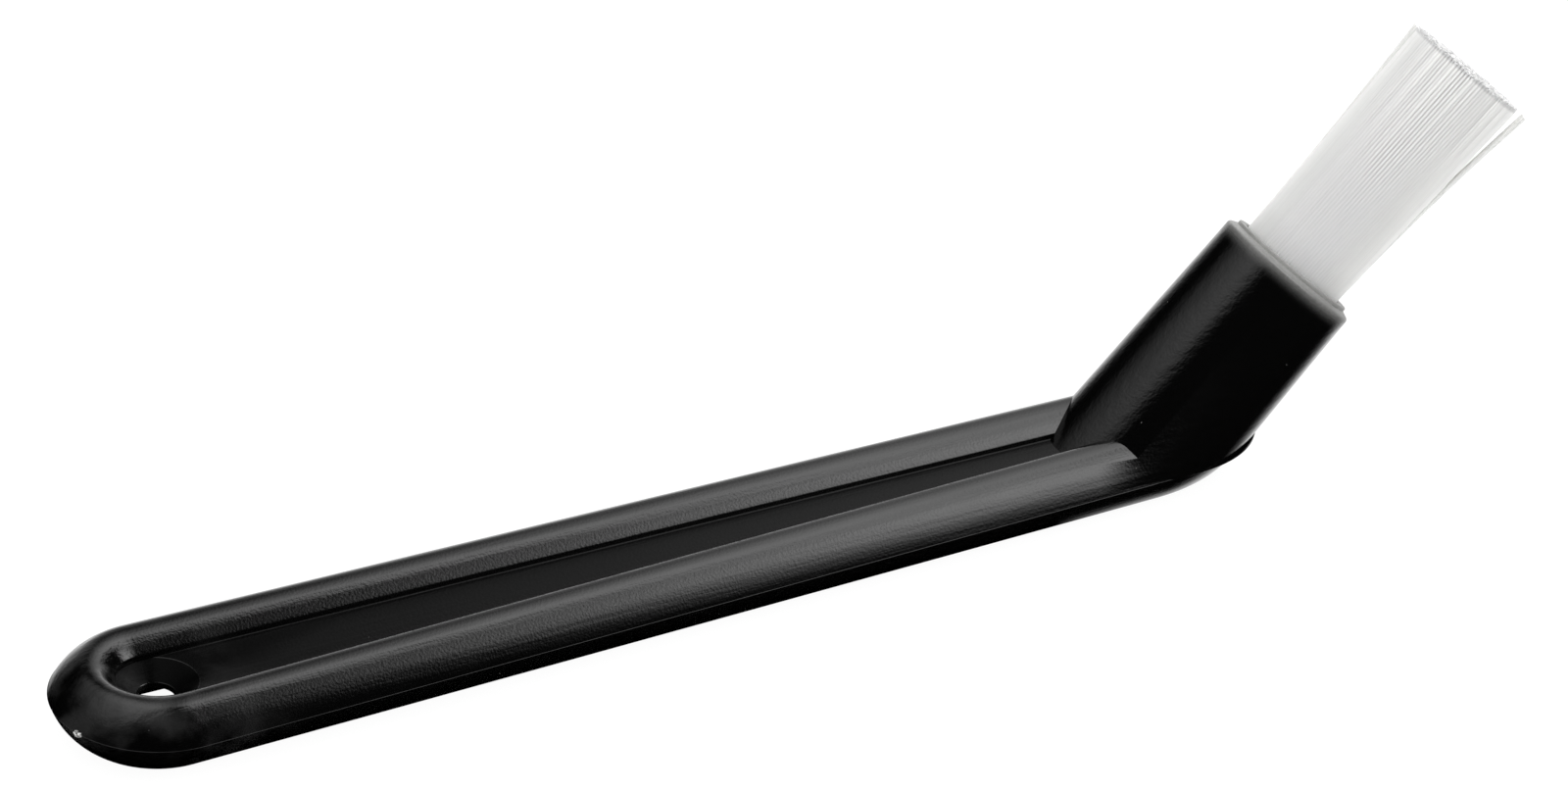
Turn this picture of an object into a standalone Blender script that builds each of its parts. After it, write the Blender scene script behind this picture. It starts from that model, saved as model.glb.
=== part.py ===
"""Coffee machine cleaning brush, in metres, +Z up.

The brush lies on its underside, z = 0. Its handle runs along +X from the hanging hole to the head, and y = 0 is
its plane of symmetry. The origin is where the flat of the underside crosses that plane at the hanging end.
One moulding makes the handle and the socket that rises from its end. A bundle of nylon filaments, fused
together at its root, stands in the socket's blind bore on the resin that glues it there.
"""

import math
import random

import bmesh
import bpy
from mathutils import Matrix, Vector

# Handle, seen from above: a round end, straight sides and half an ellipse at the head
HANDLE_LENGTH = 0.2051
HOLE_END_RADIUS = 0.0165
HEAD_END_HALF_WIDTH = 0.0127
HEAD_END_REACH = 0.0198

# Bead that runs all round the handle, above and below the parting plane, where the handle is widest. Its crest is
# round, and its shoulders slope on from there: out to the parting plane, and in to the top of a steep wall. Below,
# the crest is cut off in a narrow flat, the keel.
BEAD_CREST_INSET = 0.00605
CREST_HEIGHT = 0.00565
CREST_RADIUS = 0.0033
CREST_TURN = math.radians(35.0)
SHOULDER_WIDTH = 0.0043
SHOULDER_FALL = 0.00255
WALL_LEAN = 0.00013
KEEL_DEPTH = 0.00615
KEEL_FLAT = 0.0016

# Web inside the bead: the floor of the channel above it and of the one below it
WEB_TOP = 0.00225
WEB_THICKNESS = 0.0032

# Hanging hole, in a dish that slopes down to it from the channel's floor
HOLE_RADIUS = 0.0030
DISH_RADIUS = 0.0066
DISH_DEPTH = 0.00235

# Socket, a round tube with draft, cut off just above the parting plane, where it overhangs the handle's end.
# Its length and its bore's depth are measured from the top of the lip that stands round the bore's mouth.
HEAD_ANGLE = math.radians(45.0)
SOCKET_LENGTH = 0.0356
SOCKET_RIM_RADIUS = 0.0121
SOCKET_DRAFT = math.radians(1.1)
SOCKET_OVERHANG = 0.0012
SOCKET_FOOT_LEVEL = 0.00005
LIP_WIDTH = 0.0014
LIP_HEIGHT = 0.0006
LIP_ROUNDING = 0.00025
SHOULDER_DROP = 0.0006
BORE_DEPTH = 0.0220
BORE_CHAMFER = 0.0003

# Thin moulding ledge at the parting plane, half an ellipse round the back of the socket's foot
LEDGE_WIDTH = 0.0005
LEDGE_THICKNESS = 0.0003
LEDGE_REACH = 0.0154
LEDGE_HALF_WIDTH = 0.0125

# Resin and filaments in the bore
BUNDLE_RADIUS = 0.00905
FIT_GAP = 0.0003
RESIN_DEPTH = 0.0060
FUSED_DEPTH = 0.0030
FREE_LENGTH = 0.0408

# Filaments, standing on a sunflower spiral. They fill the bore's mouth and spread from there to the tips, and all
# lean a little to the brush's right and down. The strays bend further out above the mouth. Bearings are seen from
# the tips, from the lower side of the head round to the brush's left.
FILAMENT_COUNT = 380
FILAMENT_RADIUS = 0.0003
FILAMENT_SIDES = 4
FILAMENT_ROOT = 0.0006
TIP_SPREAD = 0.00105
TIP_LEAN = Vector((0.0008, -0.0006, 0.0))
TIP_UNEVENNESS = 0.0004
STRAY_BEARINGS_AND_SPREADS = ((math.radians(317.0), 0.0016), (math.radians(137.0), 0.0005))
STRAYS_PER_BEARING = 2
OUTER_TURN = 21
CHANCE_SEED = 11

# How finely round shapes are divided
ARC_STEP = math.radians(7.5)
CREST_STEPS = 4
SHOULDER_STEPS = 3
TURNED_STEPS = 48
HOLE_STEPS = 32
CUT_OVERRUN = 0.004
TRIM_RADII = 4.0
SHARP_ANGLE = math.radians(40.0)
GOLDEN_ANGLE = math.pi * (3.0 - math.sqrt(5.0))

HOLE_END_X = HOLE_END_RADIUS
HEAD_END_X = HANDLE_LENGTH - HEAD_END_REACH
SIDE_TILT = math.asin((HOLE_END_RADIUS - HEAD_END_HALF_WIDTH) / (HEAD_END_X - HOLE_END_X))
WEB_BOTTOM = WEB_TOP - WEB_THICKNESS

BORE_RADIUS = BUNDLE_RADIUS + FIT_GAP
BORE_FLOOR = SOCKET_LENGTH - BORE_DEPTH
RESIN_FLOOR = BORE_FLOOR + FIT_GAP
FUSED_FLOOR = RESIN_FLOOR + RESIN_DEPTH + FIT_GAP
FUSED_TOP = FUSED_FLOOR + FUSED_DEPTH
ROOT_HEIGHT = FUSED_TOP - FILAMENT_ROOT
ROOT_SHARE = (SOCKET_LENGTH - ROOT_HEIGHT) / FREE_LENGTH

RIM_HEIGHT = SOCKET_LENGTH - LIP_HEIGHT - SHOULDER_DROP
SOCKET_TAPER = math.tan(SOCKET_DRAFT)
SOCKET_FOOT_RADIUS = SOCKET_RIM_RADIUS + RIM_HEIGHT * SOCKET_TAPER


def clear_scene():
    for old in list(bpy.data.objects):
        bpy.data.objects.remove(old, do_unlink=True)


def new_collection(name):
    made = bpy.data.collections.new(name)
    bpy.context.scene.collection.children.link(made)
    return made


def add_empty(name, place, parent=None):
    empty = bpy.data.objects.new(name, None)
    empty.matrix_basis = place
    empty.parent = parent
    empty.hide_render = True
    cutters.objects.link(empty)
    return empty


def add_object(name, bm, collection, parent):
    mesh = bpy.data.meshes.new(name)
    bm.to_mesh(mesh)
    bm.free()
    made = bpy.data.objects.new(name, mesh)
    made.parent = parent
    collection.objects.link(made)
    if collection == cutters:
        made.hide_render = True
        made.display_type = "WIRE"
    return made


def plastic(name, colour, roughness):
    made = bpy.data.materials.new(name)
    made.use_nodes = True
    shader = made.node_tree.nodes["Principled BSDF"]
    shader.inputs["Base Color"].default_value = (*colour, 1.0)
    shader.inputs["Metallic"].default_value = 0.0
    shader.inputs["Roughness"].default_value = roughness
    made.diffuse_color = (*colour, 1.0)
    return made


def turned(name, profile, steps, collection, parent):
    """A solid turned about its own Z from (radius, height) points that run down its outer side."""
    bm = bmesh.new()
    points = [bm.verts.new((radius, 0.0, height)) for radius, height in profile]
    for upper, lower in zip(points, points[1:]):
        bm.edges.new((upper, lower))
    made = add_object(name, bm, collection, parent)
    screw = made.modifiers.new("turn", "SCREW")
    screw.angle = 2.0 * math.pi
    screw.steps = steps
    screw.render_steps = steps
    screw.use_merge_vertices = True
    screw.merge_threshold = 0.000001
    screw.use_smooth_shade = True
    return made


def boolean(target, operation, other):
    cut = target.modifiers.new(other.name, "BOOLEAN")
    cut.operation = operation
    cut.solver = "EXACT"
    cut.object = other


def arc(centre_x, reach, half_width, start, stop):
    """Points round part of an ellipse whose centre is on the X axis, as pairs, both ends included."""
    steps = 2 * max(1, round(abs(stop - start) / ARC_STEP / 2))
    angles = [start + (stop - start) * step / steps for step in range(steps + 1)]
    return [(centre_x + reach * math.cos(angle), half_width * math.sin(angle)) for angle in angles]


def handle_outline(inset):
    """The handle's outline from above, drawn in by an inset, with ends that are tangent to its sides."""
    tangent = math.pi / 2 - SIDE_TILT
    head_tangent = math.atan(HEAD_END_HALF_WIDTH / HEAD_END_REACH * math.tan(tangent))
    reach = HEAD_END_REACH - inset
    half_width = HEAD_END_HALF_WIDTH - inset
    radius = HOLE_END_RADIUS - inset
    head_end = arc(HEAD_END_X, reach, half_width, -head_tangent, head_tangent)
    hole_end = arc(HOLE_END_X, radius, radius, tangent, 2.0 * math.pi - tangent)
    return head_end + hole_end


def shoulder(start, slope, stop):
    """Points after start on the arc that leaves it down a slope and ends at stop, as (distance, height) pairs."""
    chord = Vector(stop) - Vector(start)
    bend = math.atan2(-chord.y, chord.x) - slope
    radius = chord.length / (2.0 * math.sin(bend))
    points = []
    for step in range(1, SHOULDER_STEPS + 1):
        turn = slope + 2.0 * bend * step / SHOULDER_STEPS
        distance = start[0] + radius * (math.sin(turn) - math.sin(slope))
        points.append((distance, start[1] - radius * (math.cos(slope) - math.cos(turn))))
    return points


def bead_section(crest, web, flat):
    """Inset and height of half the bead, from the web up the wall, over the crest and out to the parting plane."""
    side = math.copysign(1.0, crest)
    first_turn = math.asin(flat / 2 / CREST_RADIUS)
    centre = abs(crest) - CREST_RADIUS * math.cos(first_turn)
    half_crest = []
    for step in range(CREST_STEPS + 1):
        turn = first_turn + (CREST_TURN - first_turn) * step / CREST_STEPS
        half_crest.append((CREST_RADIUS * math.sin(turn), centre + CREST_RADIUS * math.cos(turn)))
    inner = half_crest + shoulder(half_crest[-1], CREST_TURN, (SHOULDER_WIDTH, abs(crest) - SHOULDER_FALL))
    inner.append((SHOULDER_WIDTH + WALL_LEAN, side * web))
    outer = half_crest + shoulder(half_crest[-1], CREST_TURN, (BEAD_CREST_INSET, 0.0))
    section = [(BEAD_CREST_INSET + distance, side * height) for distance, height in reversed(inner)]
    section += [(BEAD_CREST_INSET - distance, side * height) for distance, height in outer[0 if flat else 1:]]
    return section


def loft_handle():
    """The web and the bead, as rings that follow the outline from the upper web edge round to the lower one."""
    upper = bead_section(CREST_HEIGHT, WEB_TOP, 0.0)
    lower = bead_section(-KEEL_DEPTH, WEB_BOTTOM, KEEL_FLAT)
    bm = bmesh.new()
    rings = []
    for inset, height in upper + lower[-2::-1]:
        rings.append([bm.verts.new((x, y, height)) for x, y in handle_outline(inset)])
    for inner, outer in zip(rings, rings[1:]):
        for here in range(len(inner)):
            after = (here + 1) % len(inner)
            bm.faces.new((inner[here], outer[here], outer[after], inner[after]))
    bm.faces.new(rings[0])
    bm.faces.new(list(reversed(rings[-1])))
    bmesh.ops.recalc_face_normals(bm, faces=bm.faces)
    return bm


def socket_radius(height):
    return SOCKET_FOOT_RADIUS - height * SOCKET_TAPER


def foot_reach():
    """How far behind the socket's axis, along +X, its back meets the parting plane."""
    along = SOCKET_FOOT_RADIUS / (math.tan(HEAD_ANGLE) + SOCKET_TAPER)
    return along * math.cos(HEAD_ANGLE) + socket_radius(along) * math.sin(HEAD_ANGLE)


def socket_profile():
    """The tube's outside, from the middle of its mouth over the lip and shoulder and down past the web."""
    lip = BORE_RADIUS + LIP_WIDTH
    foot = -SOCKET_FOOT_RADIUS / math.tan(HEAD_ANGLE) - CUT_OVERRUN
    return [
        (0.0, SOCKET_LENGTH),
        (lip - LIP_ROUNDING, SOCKET_LENGTH),
        (lip, SOCKET_LENGTH - LIP_ROUNDING),
        (lip, SOCKET_LENGTH - LIP_HEIGHT),
        (SOCKET_RIM_RADIUS, RIM_HEIGHT),
        (socket_radius(foot), foot),
        (0.0, foot),
    ]


def bore_profile():
    mouth = SOCKET_LENGTH + CUT_OVERRUN
    return [
        (0.0, mouth),
        (BORE_RADIUS + BORE_CHAMFER + CUT_OVERRUN, mouth),
        (BORE_RADIUS, SOCKET_LENGTH - BORE_CHAMFER),
        (BORE_RADIUS, BORE_FLOOR),
        (0.0, BORE_FLOOR),
    ]


def hole_profile():
    """The hanging hole and the dish above it, as one cutter."""
    foot = WEB_TOP - DISH_DEPTH
    slope = (DISH_RADIUS - HOLE_RADIUS) / DISH_DEPTH
    lip = WEB_TOP + FIT_GAP
    return [
        (0.0, lip),
        (HOLE_RADIUS + slope * (lip - foot), lip),
        (HOLE_RADIUS, foot),
        (HOLE_RADIUS, -KEEL_DEPTH - CUT_OVERRUN),
        (0.0, -KEEL_DEPTH - CUT_OVERRUN),
    ]


def cylinder_profile(radius, low, high):
    return [(0.0, high), (radius, high), (radius, low), (0.0, low)]


def below_foot(parent):
    """A block under the level of the socket's foot, which trims what the tube has there."""
    bm = bmesh.new()
    size = TRIM_RADII * SOCKET_FOOT_RADIUS
    place = Matrix.Translation((SOCKET_X, 0.0, SOCKET_FOOT_LEVEL - size / 2)) @ Matrix.Scale(size, 4)
    bmesh.ops.create_cube(bm, size=1.0, matrix=place)
    return add_object("below_foot", bm, cutters, parent)


def moulding_ledge(parent):
    """A thin elliptic disc whose rear half stands out round the socket's foot."""
    bm = bmesh.new()
    stretch = Matrix.Diagonal((LEDGE_REACH, LEDGE_HALF_WIDTH, 1.0, 1.0))
    centre_x = HANDLE_LENGTH + SOCKET_OVERHANG + LEDGE_WIDTH - LEDGE_REACH
    bmesh.ops.create_cone(
        bm,
        cap_ends=True,
        segments=TURNED_STEPS,
        radius1=1.0,
        radius2=1.0,
        depth=LEDGE_THICKNESS,
        matrix=Matrix.Translation((centre_x, 0.0, 0.0)) @ stretch,
    )
    return add_object("moulding_ledge", bm, cutters, parent)


def filament(bm, points):
    """One filament through points of the head's frame, from its root to its tip."""
    rings = []
    for point in points:
        ring = []
        for side in range(FILAMENT_SIDES):
            turn = 2.0 * math.pi * side / FILAMENT_SIDES
            corner = Vector((math.cos(turn), math.sin(turn), 0.0)) * FILAMENT_RADIUS
            ring.append(bm.verts.new(point + corner))
        rings.append(ring)
    for lower, upper in zip(rings, rings[1:]):
        for here in range(FILAMENT_SIDES):
            after = (here + 1) % FILAMENT_SIDES
            bm.faces.new((lower[here], lower[after], upper[after], upper[here]))
    bm.faces.new(list(reversed(rings[0])))
    bm.faces.new(rings[-1])


def strays():
    """The extra spread of the filaments of the outermost turn that stand nearest the strays' bearings."""
    outermost = range(FILAMENT_COUNT - OUTER_TURN, FILAMENT_COUNT)
    found = {}
    for bearing, spread in STRAY_BEARINGS_AND_SPREADS:
        nearest = sorted(outermost, key=lambda index: -math.cos(index * GOLDEN_ANGLE - bearing))
        for index in nearest[:STRAYS_PER_BEARING]:
            found[index] = spread
    return found


def filaments(parent):
    """All the filaments. Each runs through its place in the bore's mouth, so that none crosses another."""
    chance = random.Random(CHANCE_SEED)
    leaning = strays()
    bm = bmesh.new()
    for index in range(FILAMENT_COUNT):
        share = math.sqrt((index + 0.5) / FILAMENT_COUNT)
        bearing = index * GOLDEN_ANGLE
        outward = Vector((math.cos(bearing), math.sin(bearing), 0.0))
        mouth = outward * share * (BUNDLE_RADIUS - FILAMENT_RADIUS) + Vector((0.0, 0.0, SOCKET_LENGTH))
        rise = outward * share * TIP_SPREAD + TIP_LEAN + Vector((0.0, 0.0, FREE_LENGTH))
        root = mouth - rise * ROOT_SHARE
        tip = mouth + rise + Vector((0.0, 0.0, chance.uniform(-TIP_UNEVENNESS, TIP_UNEVENNESS)))
        if index in leaning:
            filament(bm, [root, mouth, tip + outward * leaning[index]])
        else:
            filament(bm, [root, tip])
    return add_object("filaments", bm, cutters, parent)


clear_scene()
brush = new_collection("coffee_machine_cleaning_brush")
cutters = new_collection("cutters")

SOCKET_X = HANDLE_LENGTH + SOCKET_OVERHANG - foot_reach()
handle_frame = add_empty("handle_frame", Matrix.Translation((-BEAD_CREST_INSET, 0.0, KEEL_DEPTH)))
head_place = Matrix.Translation((SOCKET_X, 0.0, 0.0)) @ Matrix.Rotation(math.pi / 2 - HEAD_ANGLE, 4, "Y")
head_frame = add_empty("head_frame", head_place, handle_frame)
hole_frame = add_empty("hole_frame", Matrix.Translation((HOLE_END_X, 0.0, 0.0)), handle_frame)

# Handle and socket in one black moulding
handle = add_object("handle", loft_handle(), brush, handle_frame)
tube = turned("socket_tube", socket_profile(), TURNED_STEPS, cutters, head_frame)
boolean(tube, "DIFFERENCE", below_foot(handle_frame))
boolean(handle, "UNION", tube)
boolean(handle, "UNION", moulding_ledge(handle_frame))
boolean(handle, "DIFFERENCE", turned("bore", bore_profile(), TURNED_STEPS, cutters, head_frame))
boolean(handle, "DIFFERENCE", turned("hanging_hole", hole_profile(), HOLE_STEPS, cutters, hole_frame))
handle.data.materials.append(plastic("black_polypropylene", (0.012, 0.012, 0.013), 0.2))

# Resin that glues the bundle to the bore's floor
resin_top = RESIN_FLOOR + RESIN_DEPTH
resin_profile = cylinder_profile(BUNDLE_RADIUS, RESIN_FLOOR, resin_top)
resin = turned("resin_plug", resin_profile, TURNED_STEPS, brush, head_frame)
resin.data.materials.append(plastic("clear_epoxy", (0.62, 0.55, 0.36), 0.25))

# Nylon bundle: the fused root and the filaments that rise from it
fused_profile = cylinder_profile(BUNDLE_RADIUS, FUSED_FLOOR, FUSED_TOP)
bristles = turned("bristle_bundle", fused_profile, TURNED_STEPS, brush, head_frame)
boolean(bristles, "UNION", filaments(head_frame))
bristles.data.materials.append(plastic("white_nylon", (0.78, 0.78, 0.76), 0.4))

for piece in (handle, resin, bristles):
    piece.data.shade_smooth()
    piece.data.set_sharp_from_angle(angle=SHARP_ANGLE)
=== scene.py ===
"""Looks for a coffee machine cleaning brush: a glossy black moulding and a bundle of white nylon."""
import math
import random

import bmesh
import bpy
from mathutils import Matrix, Vector, noise


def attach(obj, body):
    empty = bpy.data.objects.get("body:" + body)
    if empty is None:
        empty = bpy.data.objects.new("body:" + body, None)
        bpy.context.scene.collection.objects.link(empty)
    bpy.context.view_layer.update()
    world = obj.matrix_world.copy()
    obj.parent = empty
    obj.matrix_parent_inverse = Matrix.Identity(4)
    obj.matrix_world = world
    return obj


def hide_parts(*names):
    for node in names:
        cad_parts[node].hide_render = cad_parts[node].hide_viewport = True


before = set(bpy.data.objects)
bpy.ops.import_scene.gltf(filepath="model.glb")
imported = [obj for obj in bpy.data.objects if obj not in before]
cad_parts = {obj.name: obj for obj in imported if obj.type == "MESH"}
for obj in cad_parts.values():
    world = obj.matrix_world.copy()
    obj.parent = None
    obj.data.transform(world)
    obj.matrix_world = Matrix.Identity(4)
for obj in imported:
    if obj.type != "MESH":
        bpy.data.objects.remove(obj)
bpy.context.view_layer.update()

# Handle
#
# One end of a single injection moulding in black polypropylene: a round bead runs all round a sunk web.
# The mould closes on the widest outline, where it leaves a thin line of flash. The handle is drawn with
# its hanging end at x = 0 and that parting line at z = 0.

HANDLE_LENGTH = 0.2051
HOLE_END_RADIUS = 0.0165
HEAD_END_HALF_WIDTH = 0.0127
HEAD_END_REACH = 0.0198
BEAD_CREST_INSET = 0.00605
CREST_HEIGHT = 0.00565
CREST_RADIUS = 0.0033
CREST_TURN = math.radians(35.0)
SHOULDER_WIDTH = 0.0041
SHOULDER_FALL = 0.0026
WALL_LEAN = 0.00013
WALL_ROUNDING = 0.0004
KEEL_DEPTH = 0.00615
KEEL_FLAT = 0.0016
WEB_TOP = 0.00225
WEB_BOTTOM = -0.00095
WEB_FILLET = 0.0003
WEB_MARGIN = 0.0010
FLASH_WIDTH = 0.00003
FLASH_THICKNESS = 0.00012
FLASH_EDGE_THICKNESS = 0.00008

HANDLE_PLACE = Matrix.Translation((-BEAD_CREST_INSET, 0.0, KEEL_DEPTH))
HEAD_END_X = HANDLE_LENGTH - HEAD_END_REACH
SIDE_TILT = math.asin((HOLE_END_RADIUS - HEAD_END_HALF_WIDTH) / (HEAD_END_X - HOLE_END_RADIUS))

END_STEPS = 72
SIDE_STEPS = 14
CREST_STEPS = 8
SHOULDER_STEPS = 10
ROUNDING_STEPS = 5


def between(start, stop, steps):
    """Evenly spaced numbers from start to stop, both included."""
    return [start + (stop - start) * step / steps for step in range(steps + 1)]


def handle_outline(inset):
    """The outline from above, drawn in by an inset: half an ellipse, a side, a round end and a side."""
    tangent = math.pi / 2 - SIDE_TILT
    head_tangent = math.atan(HEAD_END_HALF_WIDTH / HEAD_END_REACH * math.tan(tangent))
    reach = HEAD_END_REACH - inset
    half_width = HEAD_END_HALF_WIDTH - inset
    radius = HOLE_END_RADIUS - inset
    head_end = [
        (HEAD_END_X + reach * math.cos(turn), half_width * math.sin(turn))
        for turn in between(-head_tangent, head_tangent, END_STEPS)
    ]
    hole_end = [
        (HOLE_END_RADIUS + radius * math.cos(turn), radius * math.sin(turn))
        for turn in between(tangent, 2.0 * math.pi - tangent, END_STEPS)
    ]
    outline = []
    for end, following in ((head_end, hole_end), (hole_end, head_end)):
        start, stop = Vector(end[-1]), Vector(following[0])
        outline += end
        outline += [tuple(start.lerp(stop, share)) for share in between(0.0, 1.0, SIDE_STEPS)[1:-1]]
    return outline


def shoulder(start, slope, stop):
    """The (distance, height) points after start of an arc that leaves it down a slope and ends at stop."""
    chord = Vector(stop) - Vector(start)
    bend = math.atan2(-chord.y, chord.x) - slope
    radius = chord.length / (2.0 * math.sin(bend))
    points = []
    for turn in between(slope, slope + 2.0 * bend, SHOULDER_STEPS)[1:]:
        distance = start[0] + radius * (math.sin(turn) - math.sin(slope))
        points.append((distance, start[1] - radius * (math.cos(slope) - math.cos(turn))))
    return points


def rounded(points, corner, radius):
    """The points with one corner replaced by an arc of a radius."""
    before, at, after = (Vector(points[corner + step]) for step in (-1, 0, 1))
    back = (before - at).normalized()
    onward = (after - at).normalized()
    half = back.angle(onward) / 2
    centre = at + (back + onward).normalized() * radius / math.sin(half)
    first = at + back * radius / math.tan(half) - centre
    last = at + onward * radius / math.tan(half) - centre
    arc = []
    for share in between(0.0, 1.0, ROUNDING_STEPS):
        arc.append(tuple(centre + first.slerp(last, share) * radius))
    return points[:corner] + arc + points[corner + 1:]


def bead_section(crest, web, flat):
    """Inset and height of half the bead, from the web up its wall and over the crest to the flash."""
    side = math.copysign(1.0, crest)
    first_turn = math.asin(flat / 2 / CREST_RADIUS)
    centre = abs(crest) - CREST_RADIUS * math.cos(first_turn)
    half_crest = []
    for turn in between(first_turn, CREST_TURN, CREST_STEPS):
        half_crest.append((CREST_RADIUS * math.sin(turn), centre + CREST_RADIUS * math.cos(turn)))
    shoulder_foot = (SHOULDER_WIDTH, abs(crest) - SHOULDER_FALL)
    inner = half_crest + shoulder(half_crest[-1], CREST_TURN, shoulder_foot)
    wall_top = len(inner) - 1
    inner.append((SHOULDER_WIDTH + WALL_LEAN, side * web))
    inner.append((SHOULDER_WIDTH + WALL_LEAN + WEB_MARGIN, side * web))
    inner = rounded(inner, wall_top + 1, WEB_FILLET)
    inner = rounded(inner, wall_top, WALL_ROUNDING)
    outer = half_crest + shoulder(half_crest[-1], CREST_TURN, (BEAD_CREST_INSET, 0.0))
    above = outer[-2]
    share = FLASH_THICKNESS / 2 / above[1]
    outer[-1] = (BEAD_CREST_INSET - (BEAD_CREST_INSET - above[0]) * share, FLASH_THICKNESS / 2)
    outer.append((BEAD_CREST_INSET + FLASH_WIDTH, FLASH_EDGE_THICKNESS / 2))
    section = [(BEAD_CREST_INSET + distance, side * height) for distance, height in reversed(inner)]
    # A crest without a flat has one top point, which both of its sides would give.
    for distance, height in outer[0 if flat else 1:]:
        section.append((BEAD_CREST_INSET - distance, side * height))
    return section


def loft_handle():
    """The web and the bead, as rings that follow the outline from the upper web round to the lower one."""
    upper = bead_section(CREST_HEIGHT, WEB_TOP, 0.0)
    lower = bead_section(-KEEL_DEPTH, WEB_BOTTOM, KEEL_FLAT)
    bm = bmesh.new()
    rings = []
    for inset, height in upper + lower[::-1]:
        rings.append([bm.verts.new((x, y, height)) for x, y in handle_outline(inset)])
    for inner, outer in zip(rings, rings[1:]):
        for here in range(len(inner)):
            after = (here + 1) % len(inner)
            bm.faces.new((inner[here], outer[here], outer[after], inner[after]))
    bm.faces.new(rings[0])
    bm.faces.new(list(reversed(rings[-1])))
    bmesh.ops.recalc_face_normals(bm, faces=bm.faces)
    return bm


def add_object(name, bm, place):
    mesh = bpy.data.meshes.new(name)
    bm.to_mesh(mesh)
    bm.free()
    made = bpy.data.objects.new(name, mesh)
    made.matrix_world = place
    bpy.context.scene.collection.objects.link(made)
    return made


moulding = add_object("handle_moulding", loft_handle(), HANDLE_PLACE)

# Socket
#
# The other end of the same moulding: a round tube at 45 degrees, drafted so that it left the mould, with a
# raised lip round the mouth of its blind bore. Behind it the mould left a thin ledge on the parting line.

HEAD_ANGLE = math.radians(45.0)
SOCKET_LENGTH = 0.0356
SOCKET_RIM_RADIUS = 0.0121
SOCKET_DRAFT = math.radians(1.1)
SOCKET_OVERHANG = 0.0012
SOCKET_FOOT_LEVEL = 0.00005
LIP_WIDTH = 0.0014
LIP_HEIGHT = 0.0006
LIP_ROUNDING = 0.0002
SHOULDER_DROP = 0.0006
RIM_ROUNDING = 0.0006
BORE_RADIUS = 0.00935
BORE_DEPTH = 0.0220
BORE_CHAMFER = 0.0003
LEDGE_WIDTH = 0.0005
LEDGE_THICKNESS = 0.0003
LEDGE_REACH = 0.0154
LEDGE_HALF_WIDTH = 0.0125

CUT_OVERRUN = 0.004
TRIM_BLOCK_RADII = 4.0
MERGE_DISTANCE = 0.000001
SOCKET_STEPS = 160

RIM_HEIGHT = SOCKET_LENGTH - LIP_HEIGHT - SHOULDER_DROP
SOCKET_TAPER = math.tan(SOCKET_DRAFT)
SOCKET_FOOT_RADIUS = SOCKET_RIM_RADIUS + RIM_HEIGHT * SOCKET_TAPER


def foot_reach():
    """How far behind the socket's axis, along +X, its back meets the parting plane."""
    along = SOCKET_FOOT_RADIUS / (math.tan(HEAD_ANGLE) + SOCKET_TAPER)
    radius = SOCKET_FOOT_RADIUS - along * SOCKET_TAPER
    return along * math.cos(HEAD_ANGLE) + radius * math.sin(HEAD_ANGLE)


SOCKET_X = HANDLE_LENGTH + SOCKET_OVERHANG - foot_reach()
HEAD_PLACE = (
    HANDLE_PLACE
    @ Matrix.Translation((SOCKET_X, 0.0, 0.0))
    @ Matrix.Rotation(math.pi / 2 - HEAD_ANGLE, 4, "Y")
)


def turned(name, profile, steps, place):
    """A solid turned about its own Z from (radius, height) points that run down its outer side."""
    bm = bmesh.new()
    points = [bm.verts.new((radius, 0.0, height)) for radius, height in profile]
    edges = [bm.edges.new(pair) for pair in zip(points, points[1:])]
    bmesh.ops.spin(
        bm,
        geom=points + edges,
        cent=(0.0, 0.0, 0.0),
        axis=(0.0, 0.0, 1.0),
        angle=2.0 * math.pi,
        steps=steps,
    )
    bmesh.ops.remove_doubles(bm, verts=bm.verts, dist=MERGE_DISTANCE)
    bmesh.ops.recalc_face_normals(bm, faces=bm.faces)
    return add_object(name, bm, place)


def socket_profile():
    """The tube's outside: its mouth, the rounded lip round it, the sloped shoulder and the drafted wall."""
    lip = BORE_RADIUS + LIP_WIDTH
    foot = -SOCKET_FOOT_RADIUS / math.tan(HEAD_ANGLE) - CUT_OVERRUN
    profile = [
        (0.0, SOCKET_LENGTH),
        (lip, SOCKET_LENGTH),
        (lip, SOCKET_LENGTH - LIP_HEIGHT),
        (SOCKET_RIM_RADIUS, RIM_HEIGHT),
        (SOCKET_FOOT_RADIUS - foot * SOCKET_TAPER, foot),
        (0.0, foot),
    ]
    return rounded(rounded(profile, 3, RIM_ROUNDING), 1, LIP_ROUNDING)


def bore_profile():
    """The bore as a cutter, with a wide head above it that rounds off the edge of its mouth."""
    mouth = SOCKET_LENGTH + CUT_OVERRUN
    profile = [
        (0.0, mouth),
        (BORE_RADIUS + CUT_OVERRUN, SOCKET_LENGTH),
        (BORE_RADIUS, SOCKET_LENGTH),
        (BORE_RADIUS, SOCKET_LENGTH - BORE_DEPTH),
        (0.0, SOCKET_LENGTH - BORE_DEPTH),
    ]
    return rounded(profile, 2, BORE_CHAMFER)


def boolean(target, operation, other):
    """Join or cut with another solid, which isn't kept."""
    cut = target.modifiers.new(other.name, "BOOLEAN")
    cut.operation = operation
    cut.solver = "EXACT"
    cut.object = other
    bpy.context.view_layer.update()
    evaluated = target.evaluated_get(bpy.context.evaluated_depsgraph_get())
    result = bpy.data.meshes.new_from_object(evaluated)
    target.modifiers.clear()
    target.data = result
    bpy.data.objects.remove(other)


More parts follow.
